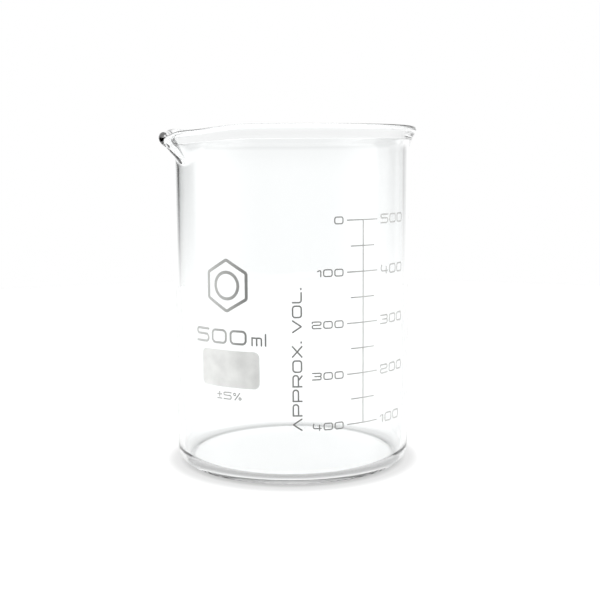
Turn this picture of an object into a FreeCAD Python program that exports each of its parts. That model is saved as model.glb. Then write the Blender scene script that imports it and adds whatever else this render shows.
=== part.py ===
"""Low-form 500 ml beaker: one blown glass body with a pouring spout, and fired white enamel prints.

Frame: +Z up, origin at the centre of the underside, spout towards -X. Millimetres.
Prints are laid out on the unrolled wall: u is the arc length from the scale's spine, positive to
the right as seen from outside, and z is the height.
"""
import FreeCAD, Part
import math
import os

os.makedirs("parts", exist_ok=True)
V = FreeCAD.Vector

# ---- glass body ----------------------------------------------------------------------------------
OUTER_R = 44.0          # outside radius of the straight wall
WALL = 2.2              # wall thickness
FLOOR = 2.2             # floor thickness
HEEL_R = 5.0            # outside rounding between floor and wall
INNER_HEEL_R = 4.6      # inside rounding
HEIGHT = 125.0          # underside to the top of the rim
RIM_R = 46.5            # outside radius of the flared rim
BEAD_R = 1.45           # radius of the fire-polished bead that ends the wall
FLARE_Z = 118.0         # the wall turns outwards here
FLARE_BEND = 1.5        # half the height of that turn
SHAPED_Z = 107.0        # below this height the wall is plainly round

# ---- spout ---------------------------------------------------------------------------------------
SPOUT_ROOT_Z = 112.2    # where the spout's keel leaves the wall
SPOUT_BEND = 1.4        # half the height of the bend at the root
SPOUT_TIP_R = 50.3      # centre of the bead at the tip, from the axis
ROOT_REACH = 13.0       # half angle of the part that is drawn outwards, at the root, degrees
RIM_REACH = 25.0        # and at the rim
KEEL = 1.25             # above 1, the keel is sharper than a plain hump
DIP = 2.1               # how far the rim sinks towards the spout
DIP_REACH = 46.0        # half angle of that sinking
NOTCH = 1.65            # how much further the lip drops at the tip
NOTCH_REACH = 10.0
SECTIONS = 56           # spans across the shaped sector of the wall
FLANK_SPANS = 24        # spans up each side of it
BEAD_SPANS = 12         # and round its bead
BAND_SPANS = 6          # spans in each band of the surface, so that its volume is computed closely
SEW_GAP = 0.0002        # the most that neighbouring faces' edges may differ

# ---- enamel --------------------------------------------------------------------------------------
ENAMEL = 0.04           # thickness of the fired enamel
SPINE_ANGLE = -85.0     # direction of the scale's spine from +X, degrees
LINE = 0.40             # width of the scale's lines

# ---- volume scale --------------------------------------------------------------------------------
FULL_ML = 500           # capacity at the top line
STEP_ML = 50            # from line to line
LOWEST_ML = 100
FULL_Z = 92.5           # height of the top line
STEP_Z = 8.884          # rise from line to line
MAJOR_HALF = 6.55       # half the length of a 100 ml line
MINOR_HALF = 5.05       # half the length of a 50 ml line
FALLING_EDGE = -7.95    # right edge of the numerals that count down from the top line
FALLING_CAP = 2.68      # their height
RISING_EDGE = 8.2       # left edge of the numerals that give the content
RISING_CAP = 3.42

# ---- lettering: strokes on a square frame, in cap heights ----------------------------------------
DIGIT_W = 1.28          # width of a digit
DIGIT_GAP = 0.225       # gap between characters
STROKE = 0.15           # stroke width
CORNER = 0.26           # rounding of the stroke's centreline

# ---- other prints --------------------------------------------------------------------------------
LEGEND_U = -22.75       # baseline of the upright legend
LEGEND_Z = (20.3, 69.9)
LEGEND_CAP = 3.45
CAPACITY_U = -64.4      # left edge of the capacity mark
CAPACITY_Z = 49.7       # its baseline
CAPACITY_CAP = 5.2
UNIT_U = -40.4
UNIT_X_HEIGHT = 3.1
UNIT_ASCENT = 4.4
SPOT_U = (-61.2, -37.7)
SPOT_Z = (34.6, 47.6)
SPOT_CORNER = 2.0
TOLERANCE_U = -49.4     # centre of the tolerance mark
TOLERANCE_Z = 30.2
TOLERANCE_CAP = 2.7
HEXAGON_U = -49.8       # centre of the plain hexagon
HEXAGON_Z = 70.2
HEXAGON_R = 8.9
HEXAGON_LINE = 1.1
HEXAGON_RING_R = 4.6


# ==================================================================================================
# glass body
# ==================================================================================================
MID_R = OUTER_R - WALL / 2          # middle of the wall
RIM_Z = HEIGHT - BEAD_R             # centre of the bead round the rim
RIM_MID_R = RIM_R - BEAD_R
SPOUT_TIP_Z = RIM_Z - DIP - NOTCH   # centre of the bead at the spout's tip


def hump(angle, half_angle):
    """1 at the spout's middle, falling smoothly to 0 at half_angle."""
    if abs(angle) >= half_angle:
        return 0.0
    return (1 + math.cos(math.pi * angle / half_angle)) / 2


def ramp(height, bend):
    """0 below the bend, height above it, and a parabola between."""
    if height <= -bend:
        return 0.0
    if height >= bend:
        return height
    return (height + bend) ** 2 / (4 * bend)


def leaning(z, bend_z, bend, top_r, top_z):
    """Radius of a wall that is upright to bend_z and then leans straight out to top_r at top_z."""
    return MID_R + (top_r - MID_R) / (top_z - bend_z) * ramp(z - bend_z, bend)


def wall_middle(angle, along):
    """Radius and height of the wall's middle; along is 0 at SHAPED_Z and 1 at the rim's bead."""
    plain_z = SHAPED_Z + along * (RIM_Z - SHAPED_Z)
    plain_r = leaning(plain_z, FLARE_Z, FLARE_BEND, RIM_MID_R, RIM_Z)
    spout_z = SHAPED_Z + along * (SPOUT_TIP_Z - SHAPED_Z)
    spout_r = leaning(spout_z, SPOUT_ROOT_Z, SPOUT_BEND, SPOUT_TIP_R, SPOUT_TIP_Z)
    rise = max(0.0, (spout_z - SPOUT_ROOT_Z) / (SPOUT_TIP_Z - SPOUT_ROOT_Z))
    out = hump(angle, ROOT_REACH + rise * (RIM_REACH - ROOT_REACH)) ** KEEL
    drop = DIP * hump(angle, DIP_REACH) + NOTCH * hump(angle, NOTCH_REACH)
    return plain_r + out * (spout_r - plain_r), plain_z - along * drop


def half_thickness(along):
    """The wall thickens into the bead over the last fifth."""
    start = 0.8
    t = max(0.0, (along - start) / (1 - start))
    return WALL / 2 + (BEAD_R - WALL / 2) * t * t * (3 - 2 * t)


def wall_point(angle, along, across, beyond):
    """A point of the shaped wall, from its place beside the wall's middle line."""
    step = 0.001
    low = wall_middle(angle, max(0.0, along - step))
    high = wall_middle(angle, min(1.0, along + step))
    length = math.hypot(high[0] - low[0], high[1] - low[1])
    up_r, up_z = (high[0] - low[0]) / length, (high[1] - low[1]) / length
    r, z = wall_middle(angle, along)
    r, z = r + up_z * across + up_r * beyond, z - up_r * across + up_z * beyond
    turn = math.radians(180 + angle)
    return V(r * math.cos(turn), r * math.sin(turn), z)


def shaped_section(angle):
    """Points up the outside of the shaped wall, round its bead and down the inside."""
    flank = [i / FLANK_SPANS for i in range(FLANK_SPANS + 1)]
    points = [wall_point(angle, along, half_thickness(along), 0.0) for along in flank]
    for i in range(1, BEAD_SPANS):
        a = math.pi * i / BEAD_SPANS
        points.append(wall_point(angle, 1.0, BEAD_R * math.cos(a), BEAD_R * math.sin(a)))
    return points + [wall_point(angle, along, -half_thickness(along), 0.0) for along in flank[::-1]]


def plain_profile():
    """Outline of the floor, heel and straight wall: the outside and the inside, up to SHAPED_Z."""
    inner_r = OUTER_R - WALL
    s = math.sqrt(0.5)
    heel = V(OUTER_R - HEEL_R, 0, HEEL_R)
    inner_heel = V(inner_r - INNER_HEEL_R, 0, FLOOR + INNER_HEEL_R)
    outside = [
        Part.LineSegment(V(0, 0, 0), V(heel.x, 0, 0)),
        Part.Arc(V(heel.x, 0, 0), heel + V(s, 0, -s) * HEEL_R, V(OUTER_R, 0, heel.z)),
        Part.LineSegment(V(OUTER_R, 0, heel.z), V(OUTER_R, 0, SHAPED_Z)),
    ]
    inside = [
        Part.LineSegment(V(0, 0, FLOOR), V(inner_heel.x, 0, FLOOR)),
        Part.Arc(V(inner_heel.x, 0, FLOOR), inner_heel + V(s, 0, -s) * INNER_HEEL_R,
                 V(inner_r, 0, inner_heel.z)),
        Part.LineSegment(V(inner_r, 0, inner_heel.z), V(inner_r, 0, SHAPED_Z)),
    ]
    return [curve.toShape() for curve in outside + inside]


def turned(edge, start, sweep):
    """The faces that an edge in the XZ plane sweeps, from start, about the axis."""
    edge = edge.copy()
    edge.rotate(V(0, 0, 0), V(0, 0, 1), start)
    return edge.revolve(V(0, 0, 0), V(0, 0, 1), sweep).Faces


def glass_body():
    """One blown piece: a shaped sector round the spout, and plain turned faces everywhere else."""
    lip = Part.BSplineSurface()
    sector = [DIP_REACH * (2 * i / SECTIONS - 1) for i in range(SECTIONS + 1)]
    lip.interpolate([shaped_section(angle) for angle in sector])
    u_first, u_last = lip.bounds()[:2]
    cuts = lip.getVKnots()[::BAND_SPANS]
    faces = []
    for v_first, v_last in zip(cuts, cuts[1:]):
        band = lip.copy()
        band.segment(u_first, u_last, v_first, v_last)
        faces.append(band.toShape())
        edge = band.uIso(u_last).toShape()
        faces += edge.revolve(V(0, 0, 0), V(0, 0, 1), 360 - 2 * DIP_REACH).Faces
    for edge in plain_profile():
        faces += turned(edge, 180 - DIP_REACH, 2 * DIP_REACH)
        faces += turned(edge, 180 + DIP_REACH, 360 - 2 * DIP_REACH)
    shell = Part.makeShell(faces)
    shell.sewShape(SEW_GAP)
    body = Part.makeSolid(shell)
    if body.Volume < 0:
        body.reverse()
    return body


# ==================================================================================================
# lettering on the unrolled wall
# ==================================================================================================
def rounded_path(points, radius, closed=False):
    """Straight runs joined by tangent arcs; points are (x, y) pairs."""
    pts = [V(x, y, 0) for x, y in points]
    count = len(pts)
    corners = range(count) if closed else range(1, count - 1)
    arcs = {}
    for i in corners:
        a, b, c = pts[i - 1], pts[i], pts[(i + 1) % count]
        to_a, to_c = (a - b), (c - b)
        run_a, run_c = to_a.Length, to_c.Length
        to_a.normalize()
        to_c.normalize()
        half = to_a.getAngle(to_c) / 2
        r = min(radius, 0.49 * min(run_a, run_c) * math.tan(half))
        back = r / math.tan(half)
        axis = (to_a + to_c).normalize()
        centre = b + axis * (r / math.sin(half))
        arcs[i] = (b + to_a * back, centre - axis * r, b + to_c * back)
    edges = []
    last = count if closed else count - 1
    for i in range(last):
        j = (i + 1) % count
        start = arcs[i][2] if i in arcs else pts[i]
        end = arcs[j][0] if j in arcs else pts[j]
        if (end - start).Length > 1e-4:
            edges.append(Part.LineSegment(start, end).toShape())
        if j in arcs:
            edges.append(Part.Arc(*arcs[j]).toShape())
    return Part.Wire(edges)


def capsule(a, b, width):
    """A straight stroke with square ends."""
    d = V(b[0] - a[0], b[1] - a[1], 0)
    d.normalize()
    n = V(-d.y, d.x, 0) * (width / 2)
    a, b = V(a[0], a[1], 0), V(b[0], b[1], 0)
    return Part.Face(Part.makePolygon([a + n, b + n, b - n, a - n, a + n]))


def stroke(points, radius, width):
    """A stroke of even width along a rounded path, with round ends."""
    if len(points) == 2:
        return capsule(points[0], points[1], width)
    outline = rounded_path(points, radius).makeOffset2D(width / 2)
    return Part.Face(outline)


def loop(points, radius, width):
    """A closed stroke."""
    path = rounded_path(points, radius, closed=True)
    outer = path.makeOffset2D(width / 2)
    inner = path.makeOffset2D(-width / 2)
    if outer.BoundBox.XLength < inner.BoundBox.XLength:
        outer, inner = inner, outer
    return Part.Face(outer).cut(Part.Face(inner))


def ring(centre, radius, width):
    c = V(centre[0], centre[1], 0)
    outer = Part.Face(Part.Wire(Part.makeCircle(radius + width / 2, c)))
    inner = Part.Face(Part.Wire(Part.makeCircle(radius - width / 2, c)))
    return outer.cut(inner)


def glyph(char):
    """Strokes of a character on a frame one cap height tall, and the frame's width."""
    t = STROKE
    w = DIGIT_W
    lo, hi, mid = t / 2, 1 - t / 2, 0.5
    x0, x1 = t / 2, w - t / 2
    frame = [(x0, lo), (x1, lo), (x1, hi), (x0, hi)]
    if char in "0O":
        return [("loop", frame)], w
    if char == "1":
        w1 = 0.56
        return [("path", [(w1 - x0, lo), (w1 - x0, hi), (x0, hi - 0.2)])], w1
    if char == "2":
        return [("path", [(x0, 0.74), (x0, hi), (x1, hi), (x1, mid), (x0, mid), (x0, lo), (x1, lo)])], w
    if char == "3":
        return [("path", [(x0, hi), (x1, hi), (x1, mid), (0.3 * w, mid)]),
                ("path", [(0.3 * w, mid), (x1, mid), (x1, lo), (x0, lo)])], w
    if char == "4":
        return [("path", [(0.18 * w, hi), (x0, 0.32), (x1, 0.32)]),
                ("path", [(0.76 * w, 0.8), (0.76 * w, 0)])], w
    if char == "5":
        return [("path", [(x1, hi), (x0, hi), (x0, 0.56), (x1, 0.56), (x1, lo), (x0, lo)])], w
    if char == "A":
        return [("sharp", [(x0, lo), (w / 2, hi), (x1, lo)])], w
    if char in "PR":
        bowl = [("path", [(x0, 0), (x0, 1)]), ("path", [(x0, hi), (x1, hi), (x1, 0.4), (x0, 0.4)])]
        leg = [("path", [(0.55 * w, 0.4), (x1, 0)])] if char == "R" else []
        return bowl + leg, w
    if char == "X":
        return [("path", [(x0, 0), (x1, 1)]), ("path", [(x0, 1), (x1, 0)])], w
    if char == "V":
        return [("sharp", [(x0, hi), (w / 2, lo), (x1, hi)])], w
    if char == "L":
        return [("path", [(x0, hi), (x0, lo), (x1 - 0.15, lo)])], w - 0.15
    if char == ".":
        return [("path", [(0, 0.1), (0.2, 0.1)])], 0.2
    if char == "+-":
        return [("path", [(0, 0.62), (0.8, 0.62)]), ("path", [(0.4, 0.24), (0.4, 1)]),
                ("path", [(0, lo), (0.8, lo)])], 0.8
    if char == "%":
        return [("path", [(0.22, 0), (1.0, 1)]), ("ring", (0.22, 0.76)), ("ring", (1.0, 0.24))], 1.22
    if char == " ":
        return [], 0.45
    raise ValueError(char)


def glyph_faces(char, cap):
    strokes, width = glyph(char)
    faces = []
    for kind, points in strokes:
        if kind == "ring":
            faces.append(ring((points[0] * cap, points[1] * cap), 0.155 * cap, STROKE * cap * 0.8))
            continue
        scaled = [(x * cap, y * cap) for x, y in points]
        if kind == "loop":
            faces.append(loop(scaled, CORNER * cap, STROKE * cap))
        else:
            radius = CORNER if kind == "path" else 0.03
            faces.append(stroke(scaled, radius * cap, STROKE * cap))
    return faces, width * cap


def text_width(chars, cap):
    widths = [glyph(c)[1] * cap for c in chars]
    return sum(widths) + DIGIT_GAP * cap * (len(chars) - 1)


def text_faces(chars, cap, left, base, stretch=0.0):
    """A line of text with its left end and baseline given; stretch widens each gap."""
    faces = []
    x = left
    for char in chars:
        shapes, width = glyph_faces(char, cap)
        for shape in shapes:
            shape.translate(V(x, base, 0))
            faces.append(shape)
        x += width + DIGIT_GAP * cap + stretch
    return faces


# ==================================================================================================
# wrapping flat shapes round the wall
# ==================================================================================================
def fired(faces, u_centre):
    """Enamel solids from flat faces in (u, z), pressed on the wall round u_centre."""
    low = min(f.BoundBox.YMin for f in faces) - 1
    high = max(f.BoundBox.YMax for f in faces) + 1
    skin = Part.makeCylinder(OUTER_R + ENAMEL, high - low, V(0, 0, low))
    skin = skin.cut(Part.makeCylinder(OUTER_R, high - low, V(0, 0, low)))
    depth = OUTER_R * 0.35
    blocks = []
    for face in faces:
        face.translate(V(-u_centre, 0, 0))
        face.rotate(V(0, 0, 0), V(1, 0, 0), 90)
        face.translate(V(0, depth - OUTER_R, 0))
        blocks.append(face.extrude(V(0, -depth - 2, 0)))
    block = blocks[0] if len(blocks) == 1 else blocks[0].fuse(blocks[1:]).removeSplitter()
    print_ = block.common(skin)
    turn = SPINE_ANGLE + 90 + math.degrees(u_centre / OUTER_R)
    print_.rotate(V(0, 0, 0), V(0, 0, 1), turn)
    return print_


def rectangle(u0, u1, z0, z1):
    return Part.Face(Part.makePolygon([V(u0, z0, 0), V(u1, z0, 0), V(u1, z1, 0), V(u0, z1, 0),
                                       V(u0, z0, 0)]))


def joined(pieces):
    """Separate solids kept as one node."""
    solids = [s for piece in pieces for s in piece.Solids]
    return solids[0] if len(solids) == 1 else Part.makeCompound(solids)


def line_z(ml):
    return FULL_Z - (FULL_ML - ml) / STEP_ML * STEP_Z


def graduation(ml):
    half = MINOR_HALF if ml % 100 else MAJOR_HALF
    z = line_z(ml)
    return fired([rectangle(-half, half, z - LINE / 2, z + LINE / 2)], 0.0)


def scale_spine():
    """The upright between the lines, in lengths that end on them."""
    lengths = []
    for ml in range(LOWEST_ML, FULL_ML, STEP_ML):
        z0, z1 = line_z(ml) + LINE / 2, line_z(ml + STEP_ML) - LINE / 2
        lengths.append(fired([rectangle(-LINE / 2, LINE / 2, z0, z1)], 0.0))
    return joined(lengths)


def spread(chars, cap, left, base):
    """A horizontal line of text, each character pressed on at its own place on the wall."""
    pieces = []
    x = left
    for char in chars:
        faces, width = glyph_faces(char, cap)
        for face in faces:
            face.translate(V(x, base, 0))
        if faces:
            pieces.append(fired(faces, x + width / 2))
        x += width + DIGIT_GAP * cap
    return joined(pieces)


def falling_numeral(ml):
    """What has been poured out of a full beaker, left of the scale."""
    text = str(FULL_ML - ml)
    left = FALLING_EDGE - text_width(text, FALLING_CAP)
    return spread(text, FALLING_CAP, left, line_z(ml) - FALLING_CAP / 2)


def rising_numeral(ml):
    """What the beaker holds, right of the scale."""
    return spread(str(ml), RISING_CAP, RISING_EDGE, line_z(ml) - RISING_CAP / 2)


def approx_volume_legend():
    """Upright legend that reads upwards."""
    text = "APPROX. VOL."
    natural = text_width(text, LEGEND_CAP)
    extra = (LEGEND_Z[1] - LEGEND_Z[0] - natural) / (len(text) - 1)
    pieces = []
    for face in text_faces(text, LEGEND_CAP, LEGEND_Z[0], 0.0, extra):
        face.rotate(V(0, 0, 0), V(0, 0, 1), 90)
        face.translate(V(LEGEND_U, 0, 0))
        pieces.append(face)
    return fired(pieces, LEGEND_U - LEGEND_CAP / 2)


def capacity_mark():
    """The capacity and its unit, one print."""
    digits = spread("500", CAPACITY_CAP, CAPACITY_U, CAPACITY_Z)
    t = 0.55
    x, h = UNIT_U, UNIT_X_HEIGHT
    width = 3.9
    legs = [stroke([(x + t / 2, CAPACITY_Z), (x + t / 2, CAPACITY_Z + h)], 0, t)]
    for i in (0, 1):
        a = x + t / 2 + i * (width - t) / 2
        b = a + (width - t) / 2
        top = CAPACITY_Z + h - t / 2
        legs.append(stroke([(a, top - 0.5), (a, top), (b, top), (b, CAPACITY_Z + t / 2)], 0.6, t))
    bar = x + width + 1.2
    legs.append(stroke([(bar, CAPACITY_Z), (bar, CAPACITY_Z + UNIT_ASCENT)], 0, t))
    return joined([digits, fired(legs, x + width / 2)])


def marking_spot():
    """The solid patch that takes a pencil."""
    corners = [(SPOT_U[0], SPOT_Z[0]), (SPOT_U[1], SPOT_Z[0]), (SPOT_U[1], SPOT_Z[1]), (SPOT_U[0], SPOT_Z[1])]
    return fired([Part.Face(rounded_path(corners, SPOT_CORNER, closed=True))], sum(SPOT_U) / 2)


def tolerance_mark():
    chars = ["+-", "5", "%"]
    left = TOLERANCE_U - text_width(chars, TOLERANCE_CAP) / 2
    return spread(chars, TOLERANCE_CAP, left, TOLERANCE_Z)


def hexagon_mark():
    """A plain hexagon round a ring."""
    corners = []
    for i in range(6):
        a = math.radians(30 + 60 * i)
        corners.append((HEXAGON_U + HEXAGON_R * math.cos(a), HEXAGON_Z + HEXAGON_R * math.sin(a)))
    outline = loop(corners, 1.0, HEXAGON_LINE)
    return joined([fired([outline], HEXAGON_U),
                   fired([ring((HEXAGON_U, HEXAGON_Z), HEXAGON_RING_R, HEXAGON_LINE)], HEXAGON_U)])


# ==================================================================================================
# parts
# ==================================================================================================
parts = {"glass_body": glass_body(), "scale_spine": scale_spine()}
for ml in range(LOWEST_ML, FULL_ML + 1, STEP_ML):
    size = "minor" if ml % 100 else "major"
    parts[f"{size}_graduation_{ml}"] = graduation(ml)
for ml in range(LOWEST_ML, FULL_ML + 1, 100):
    parts[f"falling_numeral_{FULL_ML - ml}"] = falling_numeral(ml)
    parts[f"rising_numeral_{ml}"] = rising_numeral(ml)
parts["approx_volume_legend"] = approx_volume_legend()
parts["capacity_mark"] = capacity_mark()
parts["marking_spot"] = marking_spot()
parts["tolerance_mark"] = tolerance_mark()
parts["hexagon_mark"] = hexagon_mark()

for name, shape in parts.items():
    shape.exportStep(f"parts/{name}.step")
    print(f"{name:28s} {len(shape.Solids):2d} solids  valid {shape.isValid()}  {shape.Volume:10.3f} mm3")
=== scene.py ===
import math

import bmesh
import bpy
from mathutils import Matrix, Vector


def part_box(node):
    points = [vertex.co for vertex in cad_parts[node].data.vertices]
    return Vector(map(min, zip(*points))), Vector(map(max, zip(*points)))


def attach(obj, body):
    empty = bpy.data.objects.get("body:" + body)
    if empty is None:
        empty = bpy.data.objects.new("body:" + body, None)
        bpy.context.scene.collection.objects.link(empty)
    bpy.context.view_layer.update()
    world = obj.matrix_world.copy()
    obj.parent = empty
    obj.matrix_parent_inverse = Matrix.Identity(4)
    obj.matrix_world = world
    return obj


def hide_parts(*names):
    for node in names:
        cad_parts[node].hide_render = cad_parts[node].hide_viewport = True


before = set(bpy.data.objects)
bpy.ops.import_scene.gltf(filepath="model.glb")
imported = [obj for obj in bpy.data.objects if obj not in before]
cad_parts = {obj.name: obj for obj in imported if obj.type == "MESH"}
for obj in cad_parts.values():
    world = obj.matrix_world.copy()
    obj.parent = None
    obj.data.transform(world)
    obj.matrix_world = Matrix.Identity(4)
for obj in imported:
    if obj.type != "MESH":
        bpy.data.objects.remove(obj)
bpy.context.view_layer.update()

MM = 0.001

# ==================================================================================================
# sizes and tones
# ==================================================================================================
# the glass body, in metres; its outermost sizes come from the frame
GLASS_LOW, GLASS_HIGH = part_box("glass_body")
HEIGHT = GLASS_HIGH.z
RIM_R = GLASS_HIGH.x                # outside radius of the flared rim, on the side away from the spout
FLARE_REACH = 2.5 * MM              # how far the rim stands out past the wall
OUTER_R = RIM_R - FLARE_REACH       # straight wall, outside
WALL = 2.2 * MM
FLOOR = 2.2 * MM
HEEL_R = 5.0 * MM
INNER_HEEL_R = 4.6 * MM
BEAD_R = 1.45 * MM
BEAD_START = 0.8                    # share of the shaped wall below the part that thickens into the bead
FLARE_Z = 118.0 * MM                # the wall turns outwards here
FLARE_BEND = 1.5 * MM               # half the height that the turn takes
SHAPED_Z = 107.0 * MM               # below this height the wall is plainly round
SPOUT_ROOT_Z = 112.2 * MM
SPOUT_BEND = 1.4 * MM
SPOUT_TIP_R = -GLASS_LOW.x - BEAD_R
ROOT_REACH = math.radians(13.0)     # half angle of the part drawn outwards, at the spout's root
RIM_REACH = math.radians(25.0)      # and at the rim
KEEL = 1.25                         # above 1 it draws the spout narrower
DIP = 2.1 * MM                      # how far the rim sinks towards the spout
DIP_REACH = math.radians(46.0)
NOTCH = 1.65 * MM                   # how much further the lip drops at the tip
NOTCH_REACH = math.radians(10.0)
ENAMEL_GAP = 0.005 * MM             # keeps the prints' backs from lying in the glass surface
MID_R = OUTER_R - WALL / 2
RIM_Z = HEIGHT - BEAD_R
RIM_MID_R = RIM_R - BEAD_R
SPOUT_TIP_Z = RIM_Z - DIP - NOTCH

# how finely the glass body's mesh follows those sizes
SEGMENTS = 540
FLANK_SPANS = 30
BEAD_SPANS = 16
HEEL_SPANS = 14
FLOOR_RINGS = (12 * MM, 24 * MM, 34 * MM)
MID_WALL_Z = 60 * MM                # one ring part of the way up the straight wall
DIRECTION_STEP = 0.001              # share of the shaped wall over which its direction is taken
MERGE_REACH = 1e-7                  # joins the points that the spin leaves on the axis
PLAIN = (-1, 0, 0)                  # marks a point that keeps the radius and height it is given

# the glass; the waves' length and height are guesses
GLASS_TINT = "#FDFEFE"
GLASS_IOR = 1.473
WAVE_LENGTH = 28 * MM
WAVE_HEIGHT = 0.05 * MM

# the prints' enamel; its grey is painted shade, for white enamel lit from behind
PRINT_BEARING = math.radians(-29)   # the way from the legend to the scale
PRINT_ACROSS = (math.cos(PRINT_BEARING), math.sin(PRINT_BEARING), 0.0)
# the painted shade is darkest within the first of these to either side of where the prints face the camera,
# and palest past the second
SHADE_DARKEST_WITHIN = 11 * MM               # to either side of about the legend's place
SHADE_PALEST_BEYOND = 31 * MM
# painted shade tones: the darker where the prints face the camera, the paler to the sides
LETTER_PAINTED_SHADE = "#747573"
LETTER_SIDE_PAINTED_SHADE = "#C2C3C1"
SPOT_PAINTED_SHADE = "#D8D9D7"
SPOT_SIDE_PAINTED_SHADE = "#EEEFED"
ENAMEL_IOR = 1.5
CLOUD_SIZE = 6 * MM
CLOUD_RANGE = (0.3, 0.7)            # between these the noise runs from thin patches to full ones
PATCH_TONES = (0.90, 1.08)
PATCH_ROUGHNESS = (0.38, 0.52)
PINHOLE_SPACING = 0.5 * MM          # drawn coarse so that they show; real ones are taken to be finer
PINHOLE_EDGE = (0.10, 0.22)         # a pinhole's inner and outer edge, as shares of the spacing
PINHOLE_TONE = 0.80
PIT_DEPTH = 0.02 * MM
PIT_STRENGTH = 0.6

# the paper under the beaker
PAPER_REACH = 0.6
PAPER_SEGMENTS = 96
PAPER_GAP = 0.1 * MM
RING_SCALE = 60 * MM                # the radius at which the colour ramp ends
CONTACT_RING = [(37 * MM, 0.95), (40 * MM, 0.46), (44 * MM, 0.68), (51 * MM, 0.95)]  # radius, tone

# the tent's light, and the flags that dim parts of it; a flag is (azimuth, half width, its softness,
# elevation, half height, its softness, share of light left), in degrees
TENT_WALL = 1.10
TENT_ROOF = 2.12
ROOF_EDGE = (0.2, 0.75)             # as the sine of the elevation
BACKDROP_FLAGS = [
    (151, 60, 20, 12, 9, 4, 0.84),      # the backdrop's upper part
    (151, 50, 30, 40, 12, 15, 0.45),    # and the gap above it
]
SIDE_FLAGS = [
    (-29, 35, 50, 15, 35, 25, 0.40),    # the opening that the camera looks in by
    (203, 17, 8, 20, 20, 10, 0.0),      # black card beside the backdrop, on the left
    (101, 14, 14, 20, 20, 10, 0.6),     # and grey card on the right
]
UNREFLECTED_MARGIN = 1.5            # light that was never reflected has a ray depth of one more than its
                                    # transmission depth when it reaches the tent, each reflection adds one
LIGHT_TURNS = 32                    # light that runs along inside the base and the bead turns back often

# the camera, in metres and degrees
VIEW_AZIMUTH = -29.0
CAMERA_DISTANCE = 403.8 * MM
CAMERA_HEIGHT = 112.8 * MM
CAMERA_PITCH = 7.438                # below level
CAMERA_TURN = 0.431                 # to the right of the beaker's axis
CAMERA_ROLL = -0.352                # positive lifts its right side
FIELD_OF_VIEW = 31.30
CAMERA_SIGHT = 20                   # how far it sees, well past the paper


# ==================================================================================================
# small helpers
# ==================================================================================================
def linear(hex_colour):
    """An sRGB hex value as linear RGBA."""
    parts = [int(hex_colour[i:i + 2], 16) / 255 for i in (1, 3, 5)]
    return [c / 12.92 if c <= 0.04045 else ((c + 0.055) / 1.055) ** 2.4 for c in parts] + [1.0]


def bearing_of(azimuth):
    """The angle round +Z, in radians, of a direction that the views call azimuth; theirs starts at -Y."""
    return math.radians(azimuth - 90)


def add(tree, kind, settings=None, inputs=None):
    """One node with its settings, and its inputs set to values or linked to sockets."""
    node = tree.nodes.new(kind)
    for key, value in (settings or {}).items():
        setattr(node, key, value)
    for key, value in (inputs or {}).items():
        if isinstance(value, bpy.types.NodeSocket):
            tree.links.new(value, node.inputs[key])
        else:
            node.inputs[key].default_value = value
    return node


def new_material(name):
    material = bpy.data.materials.new(name)
    material.use_nodes = True
    material.node_tree.nodes.clear()
    return material, material.node_tree


def mesh_object(bm, name, material):
    mesh = bpy.data.meshes.new(name)
    bm.to_mesh(mesh)
    bm.free()
    mesh.shade_smooth()
    piece = bpy.data.objects.new(name, mesh)
    bpy.context.scene.collection.objects.link(piece)
    mesh.materials.append(material)
    return piece


# ==================================================================================================
# the glass body's shape
# ==================================================================================================
def hump(angle, half_angle):
    """1 at the spout's middle, falling smoothly to 0 at half_angle."""
    return (1 + math.cos(math.pi * angle / half_angle)) / 2 if abs(angle) < half_angle else 0.0


def ramp(height, bend):
    """0 below the bend, height above it, and a parabola between."""
    if abs(height) >= bend:
        return max(0.0, height)
    return (height + bend) ** 2 / (4 * bend)


def leaning(z, bend_z, bend, top_r, top_z):
    """Radius of a wall that is upright to bend_z and then leans straight out to top_r at top_z."""
    return MID_R + (top_r - MID_R) / (top_z - bend_z) * ramp(z - bend_z, bend)


def wall_middle(angle, along):
    """Radius and height of the wall's middle; along is 0 at SHAPED_Z and 1 at the rim's bead."""
    plain_z = SHAPED_Z + along * (RIM_Z - SHAPED_Z)
    plain_r = leaning(plain_z, FLARE_Z, FLARE_BEND, RIM_MID_R, RIM_Z)
    spout_z = SHAPED_Z + along * (SPOUT_TIP_Z - SHAPED_Z)
    spout_r = leaning(spout_z, SPOUT_ROOT_Z, SPOUT_BEND, SPOUT_TIP_R, SPOUT_TIP_Z)
    rise = max(0.0, (spout_z - SPOUT_ROOT_Z) / (SPOUT_TIP_Z - SPOUT_ROOT_Z))
    out = hump(angle, ROOT_REACH + rise * (RIM_REACH - ROOT_REACH)) ** KEEL
    drop = DIP * hump(angle, DIP_REACH) + NOTCH * hump(angle, NOTCH_REACH)
    return Vector((plain_r + out * (spout_r - plain_r), plain_z - along * drop))


def half_thickness(along):
    """Half the wall, which thickens smoothly into the bead above BEAD_START."""
    t = max(0.0, (along - BEAD_START) / (1 - BEAD_START))
    return WALL / 2 + (BEAD_R - WALL / 2) * t * t * (3 - 2 * t)


def wall_place(angle, along, across, beyond):
    """Radius and height of a point of the shaped wall, from its place beside the wall's middle line."""
    lower = wall_middle(angle, max(0.0, along - DIRECTION_STEP))
    upper = wall_middle(angle, min(1.0, along + DIRECTION_STEP))
    up = (upper - lower).normalized()
    out = Vector((up.y, -up.x))
    return wall_middle(angle, along) + out * across + up * beyond


def heel(centre_r, centre_z, radius):
    """A quarter of a circle, from its lowest point to its outermost."""
    turns = [math.pi / 2 * i / HEEL_SPANS for i in range(HEEL_SPANS + 1)]
    return [(centre_r + radius * math.sin(a), centre_z - radius * math.cos(a), *PLAIN) for a in turns]


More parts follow.
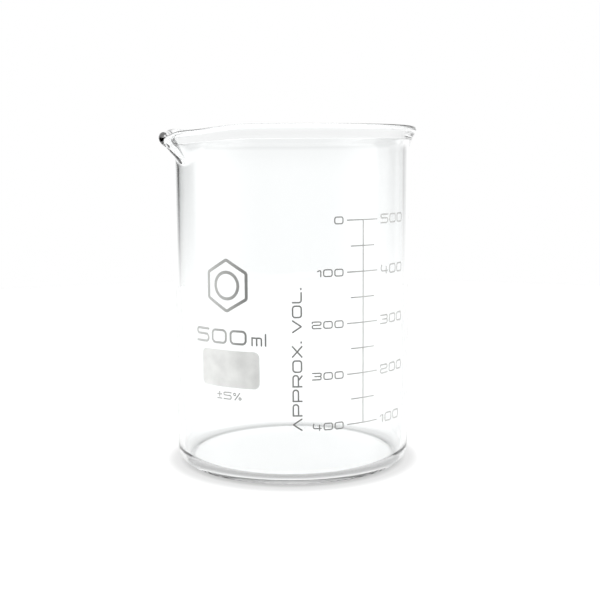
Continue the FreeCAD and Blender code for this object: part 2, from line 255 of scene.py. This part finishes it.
def glass_profile():
    """The wall's section from the underside's middle, up the outside and down the inside.

    Each point is (radius, height, along, across, beyond); the last three place it on the shaped wall.
    """
    outer_r = OUTER_R - ENAMEL_GAP
    inner_r = OUTER_R - WALL
    flank = [i / FLANK_SPANS for i in range(FLANK_SPANS + 1)]
    bead = [math.pi * i / BEAD_SPANS for i in range(1, BEAD_SPANS)]
    points = [(0.0, 0.0, *PLAIN)]
    points += [(radius, 0.0, *PLAIN) for radius in FLOOR_RINGS]
    points += heel(outer_r - HEEL_R, HEEL_R, HEEL_R)
    points.append((outer_r, MID_WALL_Z, *PLAIN))
    points += [(0, 0, along, half_thickness(along), 0) for along in flank]
    points += [(0, 0, 1, BEAD_R * math.cos(a), BEAD_R * math.sin(a)) for a in bead]
    points += [(0, 0, along, -half_thickness(along), 0) for along in reversed(flank)]
    points.append((inner_r, MID_WALL_Z, *PLAIN))
    points += reversed(heel(inner_r - INNER_HEEL_R, FLOOR + INNER_HEEL_R, INNER_HEEL_R))
    points += [(radius, FLOOR, *PLAIN) for radius in reversed(FLOOR_RINGS)]
    points.append((0.0, FLOOR, *PLAIN))
    return points


def beaker_glass(material):
    """The profile spun round the axis, with the upper wall then drawn into its flare and spout."""
    bm = bmesh.new()
    layers = [bm.verts.layers.float.new(n) for n in ("along", "across", "beyond")]
    verts = []
    for r, z, *shaping in glass_profile():
        v = bm.verts.new((-r, 0, z))
        for layer, value in zip(layers, shaping):
            v[layer] = value
        verts.append(v)
    edges = [bm.edges.new(pair) for pair in zip(verts, verts[1:])]
    bmesh.ops.spin(bm, geom=verts + edges, cent=(0, 0, 0), axis=(0, 0, 1), angle=2 * math.pi,
                   steps=SEGMENTS, use_merge=True)
    # the spin lays down one whole profile after another, so a vertex's number gives its angle
    along, across, beyond = layers
    count = len(verts)
    bm.verts.ensure_lookup_table()
    for i, v in enumerate(bm.verts):
        if v[along] < 0:
            continue
        angle = 2 * math.pi * (i // count) / SEGMENTS
        angle = (angle + math.pi) % (2 * math.pi) - math.pi
        r, z = wall_place(angle, v[along], v[across], v[beyond])
        v.co = (-r * math.cos(angle), -r * math.sin(angle), z)
    bmesh.ops.remove_doubles(bm, verts=bm.verts, dist=MERGE_REACH)
    bmesh.ops.recalc_face_normals(bm, faces=bm.faces)
    return mesh_object(bm, "blown_glass_body", material)


# ==================================================================================================
# materials
# ==================================================================================================
def borosilicate_glass():
    """Borosilicate 3.3, blown in a mould and fire-polished: clear and colourless.

    Its surface is as smooth as a liquid's, with the long shallow waves that blowing leaves, so lines
    seen through the wall bend a little.
    """
    material, tree = new_material("borosilicate_glass_blown")
    place = add(tree, "ShaderNodeTexCoord").outputs["Object"]
    wave = add(tree, "ShaderNodeTexNoise", inputs={
        "Vector": place, "Scale": 1 / WAVE_LENGTH, "Detail": 1.0}).outputs["Fac"]
    ripple = add(tree, "ShaderNodeBump", inputs={
        "Height": wave, "Distance": WAVE_HEIGHT, "Strength": 1.0}).outputs["Normal"]
    shader = add(tree, "ShaderNodeBsdfPrincipled", inputs={
        "Base Color": linear(GLASS_TINT),
        "Roughness": 0.0,
        "IOR": GLASS_IOR,
        "Transmission Weight": 1.0,
        "Normal": ripple,
    })
    add(tree, "ShaderNodeOutputMaterial", inputs={"Surface": shader.outputs[0]})
    return material


def fired_enamel(name, facing_shade_tone, side_shade_tone):
    """White ceramic enamel, screened on and fired: thin, semi-matt, with pinholes and uneven cover.

    Its grey is painted shade. White enamel looks grey against a bright ground, because it stops the light
    from behind, so its colour is set darker than the enamel is by itself. The painted shade is darkest
    where the prints face the camera, either side of the legend, and pales evenly to both sides, which
    face more light.
    """
    material, tree = new_material(name)
    place = add(tree, "ShaderNodeTexCoord").outputs["Object"]
    across = add(tree, "ShaderNodeVectorMath", {"operation": "DOT_PRODUCT"}, {
        0: place, 1: PRINT_ACROSS}).outputs["Value"]
    aside = add(tree, "ShaderNodeMath", {"operation": "ABSOLUTE"}, {0: across}).outputs[0]
    # painted shade: the colour pales from the darker tone facing the camera to the paler one at the sides
    shade_paling = add(tree, "ShaderNodeMapRange", {"interpolation_type": "SMOOTHSTEP"}, {
        "Value": aside, "From Min": SHADE_DARKEST_WITHIN, "From Max": SHADE_PALEST_BEYOND}).outputs["Result"]
    # a Mix node's colours are its inputs 6 and 7, and its output 2
    plain = add(tree, "ShaderNodeMix", {"data_type": "RGBA"}, {
        0: shade_paling, 6: linear(facing_shade_tone), 7: linear(side_shade_tone)}).outputs[2]
    cloud = add(tree, "ShaderNodeTexNoise", inputs={
        "Vector": place, "Scale": 1 / CLOUD_SIZE, "Detail": 3.0}).outputs["Fac"]
    patchy = add(tree, "ShaderNodeMapRange", inputs={
        "Value": cloud, "From Min": CLOUD_RANGE[0], "From Max": CLOUD_RANGE[1],
        "To Min": PATCH_TONES[0], "To Max": PATCH_TONES[1]}).outputs["Result"]
    grain = add(tree, "ShaderNodeTexVoronoi", inputs={"Vector": place, "Scale": 1 / PINHOLE_SPACING})
    hole = add(tree, "ShaderNodeMapRange", inputs={
        "Value": grain.outputs["Distance"], "From Min": PINHOLE_EDGE[0], "From Max": PINHOLE_EDGE[1],
        "To Min": PINHOLE_TONE, "To Max": 1.0}).outputs["Result"]
    tone = add(tree, "ShaderNodeMath", {"operation": "MULTIPLY"}, {0: patchy, 1: hole}).outputs["Value"]
    colour = add(tree, "ShaderNodeVectorMath", {"operation": "SCALE"}, {
        0: plain, "Scale": tone}).outputs["Vector"]
    dull = add(tree, "ShaderNodeMapRange", inputs={
        "Value": cloud, "From Min": CLOUD_RANGE[0], "From Max": CLOUD_RANGE[1],
        "To Min": PATCH_ROUGHNESS[0], "To Max": PATCH_ROUGHNESS[1]}).outputs["Result"]
    pits = add(tree, "ShaderNodeBump", inputs={
        "Height": hole, "Distance": PIT_DEPTH, "Strength": PIT_STRENGTH}).outputs["Normal"]
    shader = add(tree, "ShaderNodeBsdfPrincipled", inputs={
        "Base Color": colour, "Roughness": dull, "Normal": pits, "IOR": ENAMEL_IOR})
    add(tree, "ShaderNodeOutputMaterial", inputs={"Surface": shader.outputs[0]})
    return material


def matt_white_paper():
    """Matt white paper, evenly diffuse.

    The glass casts no shadow here, so a soft dark ring round the base is painted on the paper in its
    place. It is a look and not worked-out light, and its radii suit this base only.
    """
    material, tree = new_material("matt_white_paper")
    place = add(tree, "ShaderNodeTexCoord").outputs["Object"]
    reach = add(tree, "ShaderNodeVectorMath", {"operation": "LENGTH"}, {0: place}).outputs["Value"]
    share = add(tree, "ShaderNodeMath", {"operation": "DIVIDE"}, {0: reach, 1: RING_SCALE}).outputs[0]
    ring = add(tree, "ShaderNodeValToRGB", inputs={0: share})
    ring.color_ramp.interpolation = "EASE"
    stops = ring.color_ramp.elements
    while len(stops) < len(CONTACT_RING):
        stops.new(0.5)
    for stop, (radius, tone) in zip(stops, CONTACT_RING):
        stop.position = radius / RING_SCALE
        stop.color = (tone, tone, tone, 1)
    shader = add(tree, "ShaderNodeBsdfPrincipled", inputs={"Base Color": ring.outputs[0], "Roughness": 1.0})
    add(tree, "ShaderNodeOutputMaterial", inputs={"Surface": shader.outputs[0]})
    return material


# ==================================================================================================
# stage
# ==================================================================================================
def paper_disc(material):
    bm = bmesh.new()
    bmesh.ops.create_circle(bm, cap_ends=True, radius=PAPER_REACH, segments=PAPER_SEGMENTS)
    bmesh.ops.translate(bm, verts=bm.verts, vec=(0, 0, -PAPER_GAP))
    return mesh_object(bm, "floor", material)


def hang_flags(tree, level, flags, bearing, height):
    """Dim the light in each flag's part of the surroundings, with soft edges."""
    for azimuth, half_width, side_edge, elevation, half_height, end_edge, left in flags:
        turn = bearing_of(azimuth)
        facing = add(tree, "ShaderNodeVectorMath", {"operation": "DOT_PRODUCT"}, {
            0: bearing, 1: (math.cos(turn), math.sin(turn), 0)}).outputs["Value"]
        wide = add(tree, "ShaderNodeMapRange", {"interpolation_type": "SMOOTHSTEP"}, {
            "Value": facing, "From Min": math.cos(math.radians(half_width + side_edge)),
            "From Max": math.cos(math.radians(half_width))}).outputs["Result"]
        above = add(tree, "ShaderNodeMath", {"operation": "SUBTRACT"}, {
            0: height, 1: math.sin(math.radians(elevation))}).outputs[0]
        off = add(tree, "ShaderNodeMath", {"operation": "ABSOLUTE"}, {0: above}).outputs[0]
        tall = add(tree, "ShaderNodeMapRange", {"interpolation_type": "SMOOTHSTEP"}, {
            "Value": off, "From Min": math.sin(math.radians(half_height)),
            "From Max": math.sin(math.radians(half_height + end_edge)),
            "To Min": left - 1, "To Max": 0.0}).outputs["Result"]
        shade = add(tree, "ShaderNodeMath", {"operation": "MULTIPLY_ADD"}, {0: wide, 1: tall, 2: 1.0})
        level = add(tree, "ShaderNodeMath", {"operation": "MULTIPLY"}, {
            0: level, 1: shade.outputs[0]}).outputs[0]
    return level


def studio():
    """A white tent round the beaker, brighter overhead; past the beaker the camera sees plain white.

    The side flags draw the glass's edges: only light that is reflected somewhere on its way sees them.
    Light that just passes through the glass doesn't, so its middle stays clear from every side.
    """
    world = bpy.data.worlds.new("studio")
    bpy.context.scene.world = world
    world.use_nodes = True
    tree = world.node_tree
    tree.nodes.clear()
    direction = add(tree, "ShaderNodeTexCoord").outputs["Generated"]
    height = add(tree, "ShaderNodeSeparateXYZ", inputs={0: direction}).outputs["Z"]
    flat = add(tree, "ShaderNodeVectorMath", {"operation": "MULTIPLY"}, {0: direction, 1: (1, 1, 0)})
    bearing = add(tree, "ShaderNodeVectorMath", {"operation": "NORMALIZE"}, {0: flat.outputs[0]}).outputs[0]
    tent = add(tree, "ShaderNodeMapRange", {"interpolation_type": "SMOOTHSTEP"}, {
        "Value": height, "From Min": ROOF_EDGE[0], "From Max": ROOF_EDGE[1],
        "To Min": TENT_WALL, "To Max": TENT_ROOF}).outputs["Result"]
    clear = hang_flags(tree, tent, BACKDROP_FLAGS, bearing, height)
    flagged = hang_flags(tree, clear, SIDE_FLAGS, bearing, height)
    path = add(tree, "ShaderNodeLightPath")
    unreflected = add(tree, "ShaderNodeMath", {"operation": "COMPARE"}, {
        0: path.outputs["Ray Depth"], 1: path.outputs["Transmission Depth"], 2: UNREFLECTED_MARGIN})
    # a Mix node's plain values are its inputs 2 and 3, and its output 0
    level = add(tree, "ShaderNodeMix", inputs={0: unreflected.outputs[0], 2: flagged, 3: clear}).outputs[0]
    surround = add(tree, "ShaderNodeBackground", inputs={"Color": (1, 1, 1, 1), "Strength": level})
    backdrop = add(tree, "ShaderNodeBackground", inputs={"Color": (1, 1, 1, 1), "Strength": 1.0})
    seen = add(tree, "ShaderNodeMixShader", inputs={
        0: path.outputs["Is Camera Ray"], 1: surround.outputs[0], 2: backdrop.outputs[0]})
    add(tree, "ShaderNodeOutputWorld", inputs={"Surface": seen.outputs[0]})


def set_up_camera():
    towards = bearing_of(VIEW_AZIMUTH)
    place = Vector((CAMERA_DISTANCE * math.cos(towards), CAMERA_DISTANCE * math.sin(towards), CAMERA_HEIGHT))
    heading = towards + math.pi - math.radians(CAMERA_TURN)
    pitch = math.radians(CAMERA_PITCH)
    roll = math.radians(CAMERA_ROLL)
    forward = Vector((
        math.cos(heading) * math.cos(pitch),
        math.sin(heading) * math.cos(pitch),
        -math.sin(pitch),
    ))
    level_right = Vector((math.sin(heading), -math.cos(heading), 0))
    level_up = level_right.cross(forward)
    right = level_right * math.cos(roll) + level_up * math.sin(roll)
    up = level_up * math.cos(roll) - level_right * math.sin(roll)
    camera = bpy.data.objects.new("camera", bpy.data.cameras.new("camera"))
    camera.data.sensor_fit = "HORIZONTAL"
    camera.data.angle = math.radians(FIELD_OF_VIEW)
    camera.matrix_world = Matrix.Translation(place) @ Matrix((right, up, -forward)).transposed().to_4x4()
    camera.data.clip_end = CAMERA_SIGHT
    bpy.context.scene.collection.objects.link(camera)
    bpy.context.scene.camera = camera


# ==================================================================================================
# the beaker
# ==================================================================================================
glass = borosilicate_glass()
body = beaker_glass(glass)
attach(body, "root")
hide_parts("glass_body")
# so that it doesn't dim the paper, which clear glass hardly does
body.visible_diffuse = False
body.visible_shadow = False

# both enamels are painted grey as shade for white enamel lit from behind; the spot's painted shade is paler
enamel = fired_enamel("white_enamel_fired", LETTER_PAINTED_SHADE, LETTER_SIDE_PAINTED_SHADE)
spot_enamel = fired_enamel("white_enamel_fired_thin", SPOT_PAINTED_SHADE, SPOT_SIDE_PAINTED_SHADE)
for name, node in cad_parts.items():
    if name != "glass_body":
        node.data.materials.clear()
        node.data.materials.append(spot_enamel if name == "marking_spot" else enamel)

# ==================================================================================================
# floor, light and camera
# ==================================================================================================
floor = paper_disc(matt_white_paper())
studio()
set_up_camera()
bpy.context.scene.view_settings.view_transform = "Standard"
for limit in ("max_bounces", "glossy_bounces", "transmission_bounces"):
    setattr(bpy.context.scene.cycles, limit, LIGHT_TURNS)
